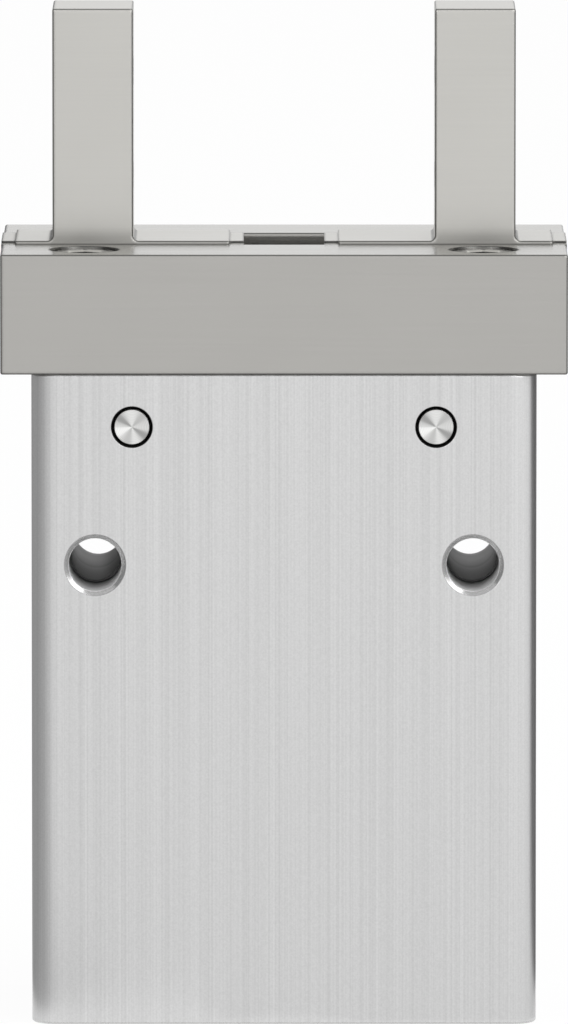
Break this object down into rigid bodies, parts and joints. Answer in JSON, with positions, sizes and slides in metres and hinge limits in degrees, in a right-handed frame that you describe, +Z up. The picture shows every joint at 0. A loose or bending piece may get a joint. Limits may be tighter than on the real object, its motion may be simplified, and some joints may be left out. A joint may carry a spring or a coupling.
{
  "type": "parallel gripper",
  "caption": "Parallel gripper with T-slot guided jaws on an upright body, opened and closed by a piston through bell-crank levers inside.",
  "frame": {"origin": "centre of the body's bottom face, which is the centre of the whole box at its lowest level", "axes": "+Z up from the body to the finger tips, +X along the jaws' travel to the right seen from the front, +Y from the front face to the back face"},
  "size_m": [0.048, 0.027, 0.0857],
  "materials": {
    "housing": "drawn and clear anodised, fine vertical brush lines",
    "guide_steel": "ground, warm grey",
    "jaw_steel": "fine ground, warm grey",
    "screw_steel": "stainless, satin",
    "pin_steel": "turned ends",
    "lever_steel": "hardened, ground flanks",
    "rod_steel": "ground and chromed",
    "piston_aluminium": "turned",
    "cap_aluminium": "turned face, clear anodised",
    "bronze": "sintered, oiled",
    "magnet": "bonded magnet, matt",
    "wear_plastic": "filled plastic strip",
    "seal_rubber": "matt black",
    "bumper_rubber": "matt, firm",
    "spring_steel": "phosphated"
  },
  "bodies": {
    "housing": {"body_housing": "housing", "guide_block": "guide_steel", "guide_screws": "screw_steel", "guide_dowels": "pin_steel", "left_pivot_pin": "pin_steel", "right_pivot_pin": "pin_steel", "rod_bush": "bronze", "rod_seal": "seal_rubber", "upper_bumper": "bumper_rubber", "lower_bumper": "bumper_rubber", "end_cap": "cap_aluminium", "end_cap_seal": "seal_rubber", "retaining_ring": "spring_steel"},
    "piston": {"piston_rod": "rod_steel", "piston_upper_half": "piston_aluminium", "piston_lower_half": "piston_aluminium", "piston_magnet": "magnet", "piston_seals": "seal_rubber", "piston_wear_ring": "wear_plastic", "piston_screw": "screw_steel"},
    "left_lever": {"left_lever": "lever_steel", "left_lever_bush": "bronze"},
    "right_lever": {"right_lever": "lever_steel", "right_lever_bush": "bronze"},
    "left_jaw": {"left_jaw": "jaw_steel"},
    "right_jaw": {"right_jaw": "jaw_steel"}
  },
  "joints": [
    {"name": "piston_slide", "type": "slide", "parent": "housing", "child": "piston", "axis": [0, 0, -1], "range_m": [0, 0.00241]},
    {"name": "left_lever_turn", "type": "hinge", "parent": "housing", "child": "left_lever", "pos_m": [-0.01287, 0, 0.051], "axis": [0, 1, 0], "range_deg": [0, 16.75]},
    {"name": "right_lever_turn", "type": "hinge", "parent": "housing", "child": "right_lever", "pos_m": [0.01287, 0, 0.051], "axis": [0, -1, 0], "range_deg": [0, 16.75]},
    {"name": "left_jaw_slide", "type": "slide", "parent": "housing", "child": "left_jaw", "axis": [1, 0, 0], "range_m": [0, 0.003]},
    {"name": "right_jaw_slide", "type": "slide", "parent": "housing", "child": "right_jaw", "axis": [-1, 0, 0], "range_m": [0, 0.003]}
  ],
  "couplings": [
    {"joint": "left_lever_turn", "follows": "piston_slide", "rad_per_m": 121.35},
    {"joint": "right_lever_turn", "follows": "piston_slide", "rad_per_m": 121.35},
    {"joint": "left_jaw_slide", "follows": "piston_slide", "ratio": 1.2454},
    {"joint": "right_jaw_slide", "follows": "piston_slide", "ratio": 1.2454}
  ]
}
